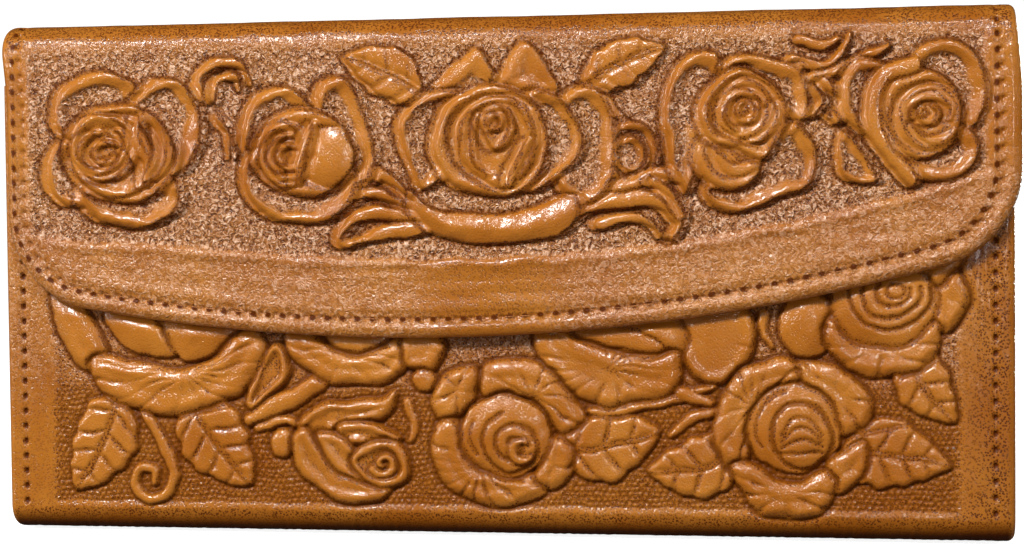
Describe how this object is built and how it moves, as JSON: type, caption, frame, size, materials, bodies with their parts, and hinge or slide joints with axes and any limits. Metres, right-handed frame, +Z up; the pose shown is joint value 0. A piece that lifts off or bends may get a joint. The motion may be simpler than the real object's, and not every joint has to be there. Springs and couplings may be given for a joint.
{
  "type": "flap clutch wallet",
  "caption": "Long leather clutch wallet with floral tooled flap and front, side gussets, card pockets, zipped coin pocket and a hidden press stud.",
  "frame": {"origin": "middle of the flat bottom face, on the plane of symmetry of the body", "axes": "+X along the width to the viewer's right when the flap faces the viewer, -Y the front with the flap, +Z up"},
  "size_m": [0.204, 0.0242, 0.1042],
  "materials": {
    "tooled_leather": "glossy, embossed and antiqued tan",
    "plain_leather": "glossy tan",
    "gusset_leather": "soft tan",
    "pocket_leather": "satin brown",
    "lining": "suede, brown",
    "board": "bonded leather board, matt grey",
    "thread": "waxed brown thread",
    "tape": "woven brown zip tape",
    "brass": "polished",
    "steel": "brushed"
  },
  "bodies": {
    "back": {"back_cover": "plain_leather", "back_board": "board", "back_lining": "lining", "back_stitching": "thread", "gusset_left_back": "gusset_leather", "gusset_right_back": "gusset_leather", "card_pocket_1": "pocket_leather", "card_pocket_2": "pocket_leather", "card_pocket_3": "pocket_leather", "card_pocket_4": "pocket_leather", "card_stitching": "thread"},
    "front": {"front_cover": "tooled_leather", "front_board": "board", "front_lining": "lining", "front_stitching": "thread", "slip_pocket": "pocket_leather", "gusset_left_front": "gusset_leather", "gusset_right_front": "gusset_leather", "stud_ball": "brass", "stud_rivet": "brass"},
    "top": {"top_strip": "plain_leather", "top_lining": "lining", "top_stitching": "thread"},
    "flap": {"flap_cover": "tooled_leather", "flap_pad": "board", "flap_lining": "lining", "flap_stitching": "thread", "stud_cap": "brass", "stud_socket": "brass"},
    "divider": {"coin_pocket": "pocket_leather", "coin_pocket_sides": "pocket_leather", "coin_stitching": "thread", "zip_tapes": "tape", "zip_teeth_front": "brass", "zip_teeth_back": "brass", "zip_stops": "brass"},
    "slider": {"zip_slider": "brass"},
    "pull": {"zip_pull": "steel"}
  },
  "joints": [
    {"name": "flap_open", "type": "hinge", "parent": "back", "child": "top", "pos_m": [0, 0.00975, 0.10195], "axis": [-1, 0, 0], "range_deg": [0, 90]},
    {"name": "flap_crease", "type": "hinge", "parent": "top", "child": "flap", "pos_m": [0, -0.00975, 0.10195], "axis": [-1, 0, 0], "range_deg": [0, 90]},
    {"name": "front_open", "type": "hinge", "parent": "back", "child": "front", "pos_m": [0, -0.00674, 0.00146], "axis": [1, 0, 0], "range_deg": [0, 18]},
    {"name": "divider_tilt", "type": "hinge", "parent": "back", "child": "divider", "pos_m": [0, -0.00674, 0.00146], "axis": [1, 0, 0], "range_deg": [0, 9]},
    {"name": "zip_slide", "type": "slide", "parent": "divider", "child": "slider", "axis": [-1, 0, 0], "range_m": [0, 0.12]},
    {"name": "pull_swing", "type": "hinge", "parent": "slider", "child": "pull", "pos_m": [0.06, 0.00265, 0.0762], "axis": [0, 1, 0], "range_deg": [0, 180]}
  ],
  "couplings": [
    {"joint": "flap_crease", "follows": "flap_open", "ratio": 1},
    {"joint": "front_open", "follows": "flap_open", "ratio": 0.2},
    {"joint": "divider_tilt", "follows": "flap_open", "ratio": 0.1}
  ]
}
